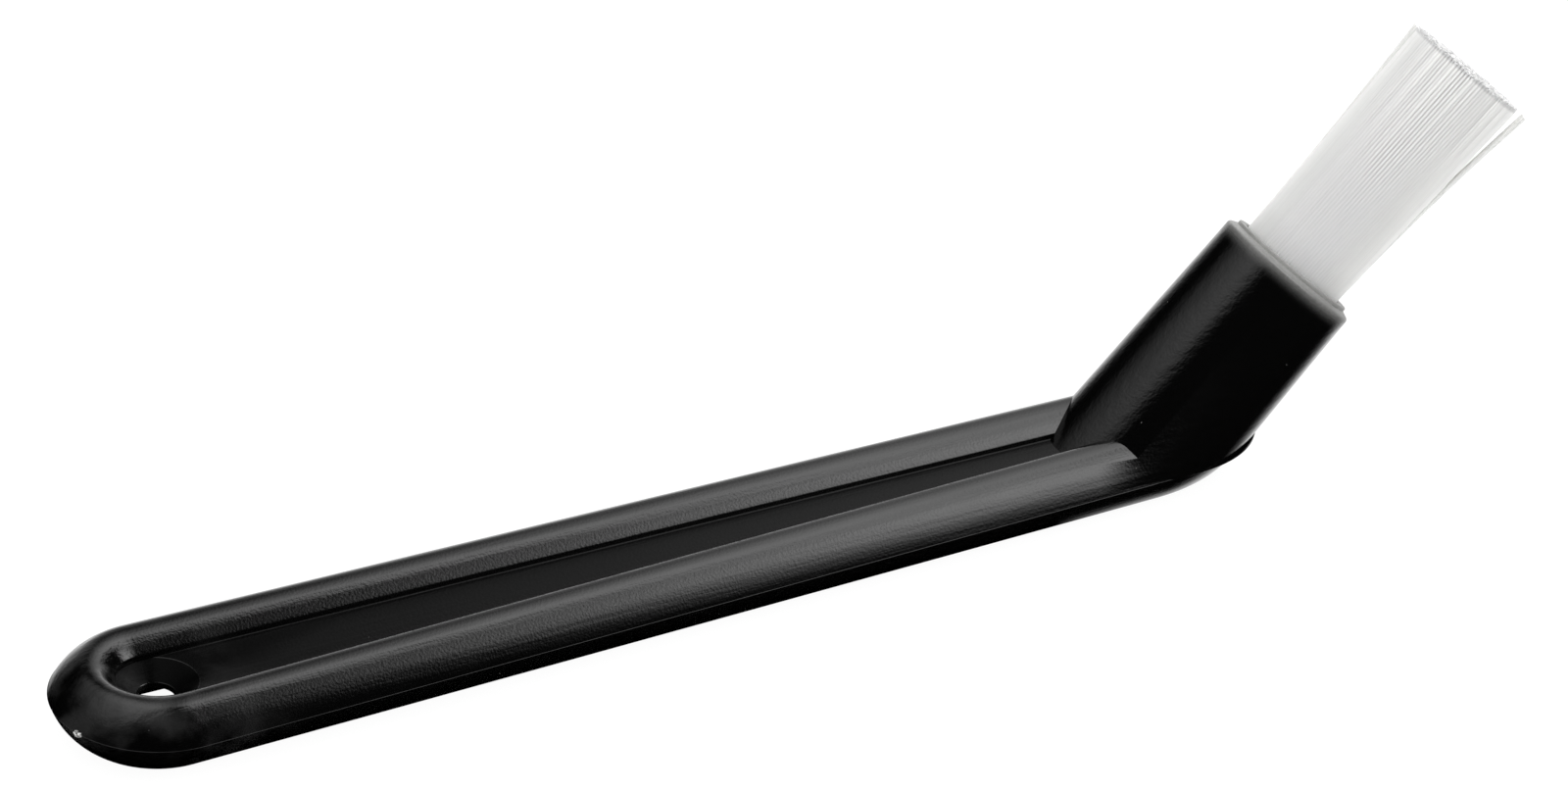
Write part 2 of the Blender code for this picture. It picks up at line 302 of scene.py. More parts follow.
def moulding_ledge():
    """A thin elliptic disc whose rear half stands out round the socket's foot."""
    bm = bmesh.new()
    stretch = Matrix.Diagonal((LEDGE_REACH, LEDGE_HALF_WIDTH, 1.0, 1.0))
    centre_x = HANDLE_LENGTH + SOCKET_OVERHANG + LEDGE_WIDTH - LEDGE_REACH
    bmesh.ops.create_cone(
        bm,
        cap_ends=True,
        segments=SOCKET_STEPS,
        radius1=1.0,
        radius2=1.0,
        depth=LEDGE_THICKNESS,
        matrix=Matrix.Translation((centre_x, 0.0, 0.0)) @ stretch,
    )
    return add_object("moulding_ledge", bm, HANDLE_PLACE)


def below_foot():
    """A block under the level of the socket's foot, which trims what the tube has there."""
    bm = bmesh.new()
    size = TRIM_BLOCK_RADII * SOCKET_FOOT_RADIUS
    centre = Matrix.Translation((SOCKET_X, 0.0, SOCKET_FOOT_LEVEL - size / 2))
    bmesh.ops.create_cube(bm, size=1.0, matrix=centre @ Matrix.Scale(size, 4))
    return add_object("below_foot", bm, HANDLE_PLACE)


tube = turned("socket_tube", socket_profile(), SOCKET_STEPS, HEAD_PLACE)
boolean(tube, "DIFFERENCE", below_foot())
boolean(moulding, "UNION", tube)
boolean(moulding, "UNION", moulding_ledge())
boolean(moulding, "DIFFERENCE", turned("bore", bore_profile(), SOCKET_STEPS, HEAD_PLACE))

# Hanging hole
#
# A pin of the mould made the hole, and a cone on the pin made the dish that slopes down to it from the web.
# The moulding's edges are slightly rounded there, as plastic never fills a sharp corner.

HOLE_RADIUS = 0.0030
HOLE_ROUNDING = 0.0003
DISH_RADIUS = 0.0066
DISH_DEPTH = 0.00235
DISH_ROUNDING = 0.0008
DISH_FLARE_WIDTH = 0.0016
DISH_FLARE_RISE = 0.000075
HOLE_STEPS = 96


def hole_profile():
    """The hole and its dish as one cutter, which flares gently out of the web at its top."""
    profile = [
        (0.0, WEB_TOP + WEB_FILLET),
        (DISH_RADIUS + DISH_FLARE_WIDTH, WEB_TOP + DISH_FLARE_RISE),
        (DISH_RADIUS, WEB_TOP),
        (HOLE_RADIUS, WEB_TOP - DISH_DEPTH),
        (HOLE_RADIUS, -KEEL_DEPTH - CUT_OVERRUN),
        (0.0, -KEEL_DEPTH - CUT_OVERRUN),
    ]
    return rounded(rounded(profile, 3, HOLE_ROUNDING), 2, DISH_ROUNDING)


hole_place = HANDLE_PLACE @ Matrix.Translation((HOLE_END_RADIUS, 0.0, 0.0))
boolean(moulding, "DIFFERENCE", turned("hanging_hole", hole_profile(), HOLE_STEPS, hole_place))

# Black polypropylene
#
# Polypropylene coloured through with carbon black and moulded against polished steel. The eye sees it by
# what it mirrors: soft edged lights, broken up by flow lines, fine grain, haze and specks of dust.


def linear(hex_colour):
    """A colour's linear red, green, blue and alpha from its sRGB hex value."""
    values = [int(hex_colour[at:at + 2], 16) / 255 for at in (1, 3, 5)]
    return [v / 12.92 if v <= 0.04045 else ((v + 0.055) / 1.055) ** 2.4 for v in values] + [1.0]


def add_node(tree, kind, inputs=(), **settings):
    """Add a shader node with its settings, and each input's value or the output that feeds it."""
    node = tree.nodes.new(kind)
    for name, value in settings.items():
        setattr(node, name, value)
    for socket, value in dict(inputs).items():
        if isinstance(value, bpy.types.NodeSocket):
            tree.links.new(value, node.inputs[socket])
        else:
            node.inputs[socket].default_value = value
    return node


def new_material(name):
    made = bpy.data.materials.new(name)
    made.use_nodes = True
    return made, made.node_tree, made.node_tree.nodes["Principled BSDF"]


POLYPROPYLENE_BLACK = linear("#040404")
POLYPROPYLENE_IOR = 1.49
GLOSS_ROUGHNESS = 0.10

# The plastic froze in lines 30 mm long and 1.1 mm apart as it flowed down the mould. The steel's own grain
# is under 0.1 mm and is drawn 0.4 mm across, as coarse as it needs to show.
FLOW_LENGTH = 0.030
FLOW_WIDTH = 0.0011
FLOW_DETAIL = 3.0
FLOW_SHARE = 2.0
GRAIN_SIZE = 0.0004
GRAIN_DETAIL = 2.0
BUMP_HEIGHT = 0.000026

# Handling leaves haze in patches of about 9 mm. Specks of dust lie about 5.5 mm apart. They are drawn 0.2 mm
# across, as coarse as they need to show.
HAZE_SIZE = 0.009
HAZE_DETAIL = 4.0
HAZE_FAINT = 0.35
HAZE_STRONG = 0.7
HAZE_ROUGHNESS = 0.16
DUST_GREY = linear("#626260")
SPECK_SPACING = 0.0055
SPECK_RADIUS = 0.00011

# Towards the hanging end, where it is held, the haze turns to pale smears.
SMEAR_GREY = linear("#242424")
SMEAR_FROM_X = 0.036
SMEAR_FULL_X = 0.012
SMEAR_FAINT = 0.45
SMEAR_STRONG = 0.7

# The socket's rim is pale and matt down to 3 mm below it, in uneven spots of about 0.4 mm: partly scuffed
# wear, and partly a painted reflection of the lit table behind the brush, which the rim's lip mirrors.
SCUFF_AND_REFLECTION_GREY = linear("#7f7f7d")
RIM_BAND_REACH = 0.0030
RIM_SPOT_SIZE = 0.0004
RIM_SPOT_DETAIL = 2.0
RIM_SPOT_FAINT = 0.6
RIM_SPOT_STRONG = 1.4
SCUFF_ROUGHNESS = 0.42

moulded_polypropylene, tree, shader = new_material("moulded_black_polypropylene")
place = add_node(tree, "ShaderNodeTexCoord").outputs["Object"]

flow_scale = (1.0 / FLOW_LENGTH, 1.0 / FLOW_WIDTH, 1.0 / FLOW_WIDTH)
stretched = add_node(tree, "ShaderNodeMapping", {"Vector": place, "Scale": flow_scale}).outputs[0]
flow = {"Vector": stretched, "Scale": 1.0, "Detail": FLOW_DETAIL}
flow = add_node(tree, "ShaderNodeTexNoise", flow).outputs[0]
grain = {"Vector": place, "Scale": 1.0 / GRAIN_SIZE, "Detail": GRAIN_DETAIL}
grain = add_node(tree, "ShaderNodeTexNoise", grain).outputs[0]
relief = {0: flow, 1: FLOW_SHARE, 2: grain}
relief = add_node(tree, "ShaderNodeMath", relief, operation="MULTIPLY_ADD").outputs[0]
bump = add_node(tree, "ShaderNodeBump", {"Height": relief, "Distance": BUMP_HEIGHT})
tree.links.new(bump.outputs["Normal"], shader.inputs["Normal"])

specks = add_node(tree, "ShaderNodeTexVoronoi", {"Vector": place, "Scale": 1.0 / SPECK_SPACING})
speck_edge = SPECK_RADIUS / SPECK_SPACING
speck = {"Value": specks.outputs["Distance"], "From Min": speck_edge, "From Max": speck_edge / 2}
speck = add_node(tree, "ShaderNodeMapRange", speck).outputs[0]
colour = {0: speck, 6: POLYPROPYLENE_BLACK, 7: DUST_GREY}
colour = add_node(tree, "ShaderNodeMix", colour, data_type="RGBA").outputs[2]

haze = {"Vector": place, "Scale": 1.0 / HAZE_SIZE, "Detail": HAZE_DETAIL}
haze = add_node(tree, "ShaderNodeTexNoise", haze).outputs[0]
gloss = add_node(tree, "ShaderNodeMapRange", {
    "Value": haze,
    "From Min": HAZE_FAINT,
    "From Max": HAZE_STRONG,
    "To Min": GLOSS_ROUGHNESS,
    "To Max": HAZE_ROUGHNESS,
})

along = add_node(tree, "ShaderNodeSeparateXYZ", {0: place}).outputs["X"]
held = {"Value": along, "From Min": SMEAR_FROM_X, "From Max": SMEAR_FULL_X}
held = add_node(tree, "ShaderNodeMapRange", held, interpolation_type="SMOOTHSTEP").outputs[0]
smear = {"Value": haze, "From Min": SMEAR_FAINT, "From Max": SMEAR_STRONG}
smear = add_node(tree, "ShaderNodeMapRange", smear, interpolation_type="SMOOTHSTEP").outputs[0]
smear = add_node(tree, "ShaderNodeMath", {0: smear, 1: held}, operation="MULTIPLY").outputs[0]
colour = {0: smear, 6: colour, 7: SMEAR_GREY}
colour = add_node(tree, "ShaderNodeMix", colour, data_type="RGBA").outputs[2]

head_axis = (math.cos(HEAD_ANGLE), 0.0, math.sin(HEAD_ANGLE))
level = add_node(tree, "ShaderNodeVectorMath", {0: place, 1: head_axis}, operation="DOT_PRODUCT")
rim_level = RIM_HEIGHT + SOCKET_X * math.cos(HEAD_ANGLE)
rim_band = {
    "Value": level.outputs["Value"],
    "From Min": rim_level - RIM_BAND_REACH,
    "From Max": rim_level + LIP_HEIGHT + SHOULDER_DROP,
}
rim_band = add_node(tree, "ShaderNodeMapRange", rim_band, interpolation_type="SMOOTHSTEP").outputs[0]
rim_spots = {"Vector": place, "Scale": 1.0 / RIM_SPOT_SIZE, "Detail": RIM_SPOT_DETAIL}
rim_spots = add_node(tree, "ShaderNodeTexNoise", rim_spots).outputs[0]
rim_spots = {"Value": rim_spots, "To Min": RIM_SPOT_FAINT, "To Max": RIM_SPOT_STRONG}
rim_spots = add_node(tree, "ShaderNodeMapRange", rim_spots).outputs[0]
# Painted reflection and scuff together: the pale grey stands partly for the lit table mirrored in the rim,
# partly for wear.
scuff_and_reflection = add_node(tree, "ShaderNodeMath", {0: rim_band, 1: rim_band}, operation="MULTIPLY").outputs[0]
scuff_and_reflection = add_node(tree, "ShaderNodeMath", {0: scuff_and_reflection, 1: rim_spots}, operation="MULTIPLY").outputs[0]
colour = {0: scuff_and_reflection, 6: colour, 7: SCUFF_AND_REFLECTION_GREY}
colour = add_node(tree, "ShaderNodeMix", colour, data_type="RGBA").outputs[2]
roughness = {0: rim_band, 2: gloss.outputs[0], 3: SCUFF_ROUGHNESS}
roughness = add_node(tree, "ShaderNodeMix", roughness).outputs[0]
tree.links.new(colour, shader.inputs["Base Color"])
tree.links.new(roughness, shader.inputs["Roughness"])
shader.inputs["IOR"].default_value = POLYPROPYLENE_IOR

# The mould's pocket was left as spark erosion made it, and the pin's cone as it was turned. The web and the
# dish mirror less than the polished bead for that, and look a deeper black.
ERODED_ROUGHNESS = 0.22
ERODED_SPECULAR = 0.12
TURNED_SPECULAR = 0.03
LEVEL_TOLERANCE = 0.000003
MOULDING_SHARP_ANGLE = math.radians(30.0)

eroded_polypropylene = moulded_polypropylene.copy()
eroded_polypropylene.name = "eroded_black_polypropylene"
nodes = eroded_polypropylene.node_tree.nodes
nodes[shader.name].inputs["Specular IOR Level"].default_value = ERODED_SPECULAR
nodes[gloss.name].inputs["To Min"].default_value = ERODED_ROUGHNESS
nodes[gloss.name].inputs["To Max"].default_value = ERODED_ROUGHNESS
turned_polypropylene = eroded_polypropylene.copy()
turned_polypropylene.name = "turned_black_polypropylene"
nodes = turned_polypropylene.node_tree.nodes
nodes[shader.name].inputs["Specular IOR Level"].default_value = TURNED_SPECULAR

moulding.data.materials.clear()
for finish in (moulded_polypropylene, eroded_polypropylene, turned_polypropylene):
    moulding.data.materials.append(finish)
for face in moulding.data.polygons:
    x, y, z = face.center
    in_pocket = abs(y) < HOLE_END_RADIUS - BEAD_CREST_INSET and BEAD_CREST_INSET < x < HEAD_END_X
    on_web = in_pocket and WEB_TOP - LEVEL_TOLERANCE < z < WEB_TOP + WEB_FILLET
    in_dish = HOLE_ROUNDING < z < WEB_TOP and math.hypot(x - HOLE_END_RADIUS, y) < DISH_RADIUS
    face.material_index = 2 if in_dish else 1 if on_web else 0
moulding.data.shade_smooth()
moulding.data.set_sharp_from_angle(angle=MOULDING_SHARP_ANGLE)
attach(moulding, "root")
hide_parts("handle")

# Gate vestige
#
# The plastic came in through a pin gate on the parting line at the hanging end. It was twisted off there,
# which left a small torn nub, paler than the rest because polypropylene whitens where it tears.

GATE_BEARING = math.radians(198.0)
GATE_SIZE = Vector((0.00045, 0.00075, 0.0005))
GATE_SUBDIVISIONS = 3

# How far the tear left the nub uneven, and how closely its coarse and its finer lumps follow each other.
GATE_UNEVENNESS = 0.35
COARSE_LUMPS = 1.7
FINE_LUMPS = 4.1
FINE_SHARE = 0.5

TORN_BLACK = linear("#4a4a4a")
TORN_WHITE = linear("#e0e0de")
TORN_ROUGHNESS = 0.55
TEAR_SIZE = 0.0003
TEAR_DETAIL = 3.0
WHITENING_FAINT = 0.4
WHITENING_STRONG = 0.6

bm = bmesh.new()
bmesh.ops.create_icosphere(bm, subdivisions=GATE_SUBDIVISIONS, radius=1.0)
for vert in bm.verts:
    tear = noise.noise(vert.co * COARSE_LUMPS) + FINE_SHARE * noise.noise(vert.co * FINE_LUMPS)
    vert.co *= 1.0 + GATE_UNEVENNESS * tear
    vert.co = Vector(size * along for size, along in zip(GATE_SIZE, vert.co))
gate_x = HOLE_END_RADIUS * (1.0 + math.cos(GATE_BEARING))
gate_y = HOLE_END_RADIUS * math.sin(GATE_BEARING)
gate_turn = Matrix.Rotation(GATE_BEARING, 4, "Z")
gate_place = HANDLE_PLACE @ Matrix.Translation((gate_x, gate_y, 0.0)) @ gate_turn
gate = add_object("gate_vestige", bm, gate_place)
gate.data.shade_smooth()

torn_polypropylene, tree, shader = new_material("torn_black_polypropylene")
place = add_node(tree, "ShaderNodeTexCoord").outputs["Object"]
tears = {"Vector": place, "Scale": 1.0 / TEAR_SIZE, "Detail": TEAR_DETAIL}
tears = add_node(tree, "ShaderNodeTexNoise", tears).outputs[0]
whitening = {"Value": tears, "From Min": WHITENING_FAINT, "From Max": WHITENING_STRONG}
whitening = add_node(tree, "ShaderNodeMapRange", whitening).outputs[0]
colour = add_node(tree, "ShaderNodeMix", {0: whitening, 6: TORN_BLACK, 7: TORN_WHITE}, data_type="RGBA")
tree.links.new(colour.outputs[2], shader.inputs["Base Color"])
shader.inputs["Roughness"].default_value = TORN_ROUGHNESS
shader.inputs["IOR"].default_value = POLYPROPYLENE_IOR
gate.data.materials.append(torn_polypropylene)
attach(gate, "root")
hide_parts("handle")

# Resin
#
# Clear epoxy poured into the bore to hold the bundle's root. It cured amber and smooth, with a few bubbles
# in it about 2 mm apart, and only a cut through the socket would show it.

EPOXY_PALE = linear("#e3d29a")
EPOXY_AMBER = linear("#c9b06a")
EPOXY_ROUGHNESS = 0.12
EPOXY_IOR = 1.55
BUBBLE_SPACING = 0.0022
BUBBLE_SHARE = 0.2

cured_epoxy, tree, shader = new_material("cured_clear_epoxy")
place = add_node(tree, "ShaderNodeTexCoord").outputs["Object"]
bubbles = add_node(tree, "ShaderNodeTexVoronoi", {"Vector": place, "Scale": 1.0 / BUBBLE_SPACING})
bubble = {"Value": bubbles.outputs["Distance"], "From Min": 0.0, "From Max": BUBBLE_SHARE}
bubble = add_node(tree, "ShaderNodeMapRange", bubble).outputs[0]
amber = add_node(tree, "ShaderNodeMix", {0: bubble, 6: EPOXY_PALE, 7: EPOXY_AMBER}, data_type="RGBA")
tree.links.new(amber.outputs[2], shader.inputs["Base Color"])
shader.inputs["Roughness"].default_value = EPOXY_ROUGHNESS
shader.inputs["IOR"].default_value = EPOXY_IOR
for material_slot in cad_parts["resin_plug"].material_slots:
    material_slot.material = cured_epoxy

# Bristles
#
# A bundle of extruded white nylon filament, cut square to one length, fused together at the root and glued
# in the bore. It fans out a little and leans to one side, and a few filaments at the edges stand away.

BUNDLE_RADIUS = 0.00905
FIT_GAP = 0.0003
RESIN_DEPTH = 0.0060
FUSED_DEPTH = 0.0030
FREE_LENGTH = 0.0408
FILAMENT_SIDES = 6
FILAMENT_PARTS = 5
FILAMENT_ROOT = 0.0006
FILAMENT_SHARP_ANGLE = math.radians(65.0)
TIP_SPREAD = 0.00105
TIP_LEAN = Vector((0.0008, -0.0006, 0.0))
TIP_UNEVENNESS = 0.0003
WANDER = 0.00005
CHANCE_SEED = 5

# Real filaments touch and bend until no gap is left. These stay straight, so they overlap instead.
FILAMENT_RADIUS = 0.00038
FILAMENT_PITCH = 0.00052
RING_PITCH = 0.00050

# The bearing of a group of strays, how much further its first one spreads, the step to the next, and how
# many there are. Their tone is negative, which marks them for the material.
STRAYS = (
    (math.radians(137.0), 0.00045, 0.0003, 2),
    (math.radians(317.0), 0.0017, 0.0003, 2),
)
STRAY_TONE = -1.6
TONE_SPREAD = 0.5

FUSED_TOP = SOCKET_LENGTH - BORE_DEPTH + FIT_GAP + RESIN_DEPTH + FIT_GAP + FUSED_DEPTH
BUNDLE_FOOT = FUSED_TOP - FILAMENT_ROOT


def filament(bm, points, bearing, tones, tone):
    """One filament through points of the head's frame, root to tip, with a corner at a bearing."""
    rings = []
    for point in points:
        ring = []
        for side in range(FILAMENT_SIDES):
            turn = bearing + 2.0 * math.pi * side / FILAMENT_SIDES
            corner = Vector((math.cos(turn), math.sin(turn), 0.0)) * FILAMENT_RADIUS
            vert = bm.verts.new(point + corner)
            vert[tones] = tone
            ring.append(vert)
        rings.append(ring)
    for lower, upper in zip(rings, rings[1:]):
        for here in range(FILAMENT_SIDES):
            after = (here + 1) % FILAMENT_SIDES
            bm.faces.new((lower[here], lower[after], upper[after], upper[here]))
    bm.faces.new(list(reversed(rings[0])))
    bm.faces.new(rings[-1])


def filament_rings():
    """Each filament's distance from the bundle's axis and its bearing, ring by ring from the outermost."""
    spots = []
    radius = BUNDLE_RADIUS - FILAMENT_RADIUS
    while radius > RING_PITCH / 2:
        count = round(2.0 * math.pi * radius / FILAMENT_PITCH)
        # Each ring starts at a bearing of its own, so that no rows line up.
        start = len(spots) * FILAMENT_PITCH
        spots += [(radius, start + 2.0 * math.pi * place / count) for place in range(count)]
        radius -= RING_PITCH
    return spots


def find_strays(spots):
    """The extra spread of the outermost filaments that stand nearest the strays' bearings."""
    found = {}
    outermost = [index for index, (radius, bearing) in enumerate(spots) if radius == spots[0][0]]
    for bearing, spread, step, count in STRAYS:
        nearest = sorted(outermost, key=lambda index: -math.cos(spots[index][1] - bearing))
        for place_in_row, index in enumerate(nearest[:count]):
            found[index] = spread + step * place_in_row
    return found


spots = filament_rings()
strays = find_strays(spots)
chance = random.Random(CHANCE_SEED)
bm = bmesh.new()
tones = bm.verts.layers.float.new("strand_tone")
for index, (radius, bearing) in enumerate(spots):
    outward = Vector((math.cos(bearing), math.sin(bearing), 0.0))
    mouth = outward * radius + Vector((0.0, 0.0, SOCKET_LENGTH))
    rise = outward * radius / BUNDLE_RADIUS * TIP_SPREAD + TIP_LEAN + Vector((0.0, 0.0, FREE_LENGTH))
    wander = Vector((chance.gauss(0.0, WANDER), chance.gauss(0.0, WANDER), 0.0))
    wander.z = chance.uniform(-TIP_UNEVENNESS, TIP_UNEVENNESS)
    wander += outward * strays.get(index, 0.0)
    points = [mouth - rise * (SOCKET_LENGTH - BUNDLE_FOOT) / FREE_LENGTH]
    for part in between(0.0, 1.0, FILAMENT_PARTS):
        points.append(mouth + rise * part + wander * part ** 2)
    tone = STRAY_TONE if index in strays else chance.uniform(0.0, TONE_SPREAD)
    filament(bm, points, bearing, tones, tone)
bundle = add_object("nylon_bundle", bm, HEAD_PLACE)
bundle.data.shade_smooth()
bundle.data.set_sharp_from_angle(angle=FILAMENT_SHARP_ANGLE)

# The nylon is milky: light enters a filament at one side and leaves it at the other, so the bundle looks
# pale and even. Its tone changes a little between strands, and along them in the lines that the die drew,
# 0.2 mm apart.
NYLON_WHITE = linear("#d9d9d7")
NYLON_GREY = linear("#c4c4c2")
NYLON_ROUGHNESS = 0.6
NYLON_IOR = 1.53
SCATTER_DEPTH = 0.0008
DRAW_LENGTH = 0.012
DRAW_WIDTH = 0.0002
DRAW_DETAIL = 2.0

# The cut ends are drawn grey. The root carries painted shade: it is greyed for 6 mm above the socket's
# mouth, where the mouth shades it.
NYLON_END_GREY_AND_ROOT_SHADE = linear("#b0b0b0")
CUT_DEPTH = 0.0004
ROOT_REACH = 0.006
ROOT_SHARE = 0.32

# How far a packed strand is lit as part of the whole round bundle, since its neighbours pass light on. A
# stray stands free of them, so it gets neither the grey cut end nor the painted root shade, and is lit as it
# stands.
BODY_SHARE = 0.6

extruded_nylon, tree, shader = new_material("extruded_white_nylon")
tone = add_node(tree, "ShaderNodeAttribute", attribute_name="strand_tone").outputs["Fac"]
place = add_node(tree, "ShaderNodeTexCoord").outputs["Object"]

draw_scale = (1.0 / DRAW_WIDTH, 1.0 / DRAW_WIDTH, 1.0 / DRAW_LENGTH)
stretched = add_node(tree, "ShaderNodeMapping", {"Vector": place, "Scale": draw_scale}).outputs[0]
lines = {"Vector": stretched, "Scale": 1.0, "Detail": DRAW_DETAIL}
lines = add_node(tree, "ShaderNodeTexNoise", lines).outputs[0]
greyed = add_node(tree, "ShaderNodeMath", {0: tone, 1: lines}, operation="MULTIPLY").outputs[0]
greyed = add_node(tree, "ShaderNodeMath", {0: greyed}, operation="ABSOLUTE").outputs[0]
colour = {0: greyed, 6: NYLON_WHITE, 7: NYLON_GREY}
colour = add_node(tree, "ShaderNodeMix", colour, data_type="RGBA").outputs[2]

tip = SOCKET_LENGTH + FREE_LENGTH
along = add_node(tree, "ShaderNodeSeparateXYZ", {0: place}).outputs["Z"]
cut_end = {"Value": along, "From Min": tip - 2 * CUT_DEPTH, "From Max": tip - CUT_DEPTH}
cut_end = add_node(tree, "ShaderNodeMapRange", cut_end).outputs[0]
# Painted shade on the root: greyed over 6 mm above the socket's mouth, where the mouth shades it.
root = {
    "Value": along,
    "From Min": SOCKET_LENGTH + ROOT_REACH,
    "From Max": SOCKET_LENGTH,
    "To Max": ROOT_SHARE,
}
root = add_node(tree, "ShaderNodeMapRange", root, interpolation_type="SMOOTHSTEP").outputs[0]
packed = {"Value": tone, "From Min": STRAY_TONE, "From Max": 0.0}
packed = add_node(tree, "ShaderNodeMapRange", packed).outputs[0]
# The grey cut ends together with the painted root shade; a stray gets neither.
end_grey_and_root_shade = add_node(tree, "ShaderNodeMath", {0: cut_end, 1: root}, operation="MAXIMUM").outputs[0]
end_grey_and_root_shade = add_node(tree, "ShaderNodeMath", {0: end_grey_and_root_shade, 1: packed}, operation="MULTIPLY").outputs[0]
colour = {0: end_grey_and_root_shade, 6: colour, 7: NYLON_END_GREY_AND_ROOT_SHADE}
colour = add_node(tree, "ShaderNodeMix", colour, data_type="RGBA").outputs[2]
tree.links.new(colour, shader.inputs["Base Color"])

outward = {0: place, 1: (1.0, 1.0, 0.0)}
outward = add_node(tree, "ShaderNodeVectorMath", outward, operation="MULTIPLY").outputs[0]
to_world = {"vector_type": "NORMAL", "convert_from": "OBJECT", "convert_to": "WORLD"}
outward = add_node(tree, "ShaderNodeVectorTransform", {0: outward}, **to_world).outputs[0]
outward = add_node(tree, "ShaderNodeVectorMath", {0: outward}, operation="NORMALIZE").outputs[0]
own = add_node(tree, "ShaderNodeNewGeometry").outputs["Normal"]
side_share = add_node(tree, "ShaderNodeMath", {0: 1.0, 1: cut_end}, operation="SUBTRACT").outputs[0]
body = add_node(tree, "ShaderNodeMath", {0: packed, 1: BODY_SHARE}, operation="MULTIPLY").outputs[0]
body = add_node(tree, "ShaderNodeMath", {0: body, 1: side_share}, operation="MULTIPLY").outputs[0]
normal = add_node(tree, "ShaderNodeMix", {0: body, 4: own, 5: outward}, data_type="VECTOR").outputs[1]
normal = add_node(tree, "ShaderNodeVectorMath", {0: normal}, operation="NORMALIZE").outputs[0]
tree.links.new(normal, shader.inputs["Normal"])
shader.inputs["Roughness"].default_value = NYLON_ROUGHNESS
shader.inputs["IOR"].default_value = NYLON_IOR
shader.inputs["Subsurface Weight"].default_value = 1.0
shader.inputs["Subsurface Radius"].default_value = (1.0, 1.0, 1.0)
shader.inputs["Subsurface Scale"].default_value = SCATTER_DEPTH
bundle.data.materials.append(extruded_nylon)
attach(bundle, "root")
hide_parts("bristle_bundle")

# Table
#
# Matt white board, lit so evenly that it has no tone of its own and the brush leaves only the faintest
# shadow on it. The plastic mirrors it as black close by, where the brush shades it, and further out as
# clear, so that what lies behind it shows.

WHITE = linear("#ffffff")
BLACK = linear("#000000")
BOARD_WHITE = linear("#e8e8e8")
BOARD_ROUGHNESS = 0.9
TABLE_SIZE = 3.0
TABLE_CENTRE = (0.1, 0.0, 0.0)

# To the camera the board gives a white of its own, with a small share of the light and shadow on it.
OPEN_LEVEL = 0.95
SHADOW_SHARE = 0.10

# Where the mirrored board stops being black and where it is clear: across from the line under the brush,
# and along it from the table's centre.
SHADE_HALF_WIDTH = 0.018
OPEN_HALF_WIDTH = 0.026
SHADE_END = 0.062
OPEN_START = 0.090

bm = bmesh.new()
bmesh.ops.create_grid(bm, x_segments=1, y_segments=1, size=TABLE_SIZE)
table = add_object("table", bm, Matrix.Translation(TABLE_CENTRE))

white_board, tree, shader = new_material("matt_white_board")
shader.inputs["Base Color"].default_value = BOARD_WHITE
shader.inputs["Roughness"].default_value = BOARD_ROUGHNESS
rays = add_node(tree, "ShaderNodeLightPath").outputs
seen = {0: rays["Is Camera Ray"], 1: rays["Is Transmission Ray"]}
seen = add_node(tree, "ShaderNodeMath", seen, operation="MAXIMUM").outputs[0]
shaded = {"Color": (SHADOW_SHARE, SHADOW_SHARE, SHADOW_SHARE, 1.0)}
shaded = add_node(tree, "ShaderNodeBsdfDiffuse", shaded).outputs[0]
open_white = {"Color": WHITE, "Strength": OPEN_LEVEL}
open_white = add_node(tree, "ShaderNodeEmission", open_white).outputs[0]
seen_board = add_node(tree, "ShaderNodeAddShader", {0: shaded, 1: open_white}).outputs[0]
board = {0: seen, 1: shader.outputs[0], 2: seen_board}
board = add_node(tree, "ShaderNodeMixShader", board).outputs[0]

spot = add_node(tree, "ShaderNodeTexCoord").outputs["Object"]
spot = add_node(tree, "ShaderNodeSeparateXYZ", {0: spot}).outputs
across = add_node(tree, "ShaderNodeMath", {0: spot["Y"]}, operation="ABSOLUTE").outputs[0]
beside = {"Value": across, "From Min": SHADE_HALF_WIDTH, "From Max": OPEN_HALF_WIDTH}
beside = add_node(tree, "ShaderNodeMapRange", beside).outputs[0]
under_head = {"Value": spot["X"], "From Min": SHADE_END, "From Max": OPEN_START}
under_head = add_node(tree, "ShaderNodeMapRange", under_head).outputs[0]
clear = add_node(tree, "ShaderNodeMath", {0: beside, 1: under_head}, operation="MAXIMUM").outputs[0]
shade = add_node(tree, "ShaderNodeBsdfDiffuse", {"Color": BLACK}).outputs[0]
sweep = add_node(tree, "ShaderNodeBsdfTransparent").outputs[0]
mirrored = add_node(tree, "ShaderNodeMixShader", {0: clear, 1: shade, 2: sweep}).outputs[0]
board = {0: rays["Is Glossy Ray"], 1: board, 2: mirrored}
board = add_node(tree, "ShaderNodeMixShader", board).outputs[0]
tree.links.new(board, tree.nodes["Material Output"].inputs["Surface"])
table.data.materials.append(white_board)

# Lights
#
# Three soft boxes: one above, a smaller one beside it on the camera's side, and a wide weak one at the left.
# Each fades to its edges, so that the glossy plastic shows soft bands and not hard rectangles.

LIT_POINT = Vector((0.10, 0.0, 0.0))


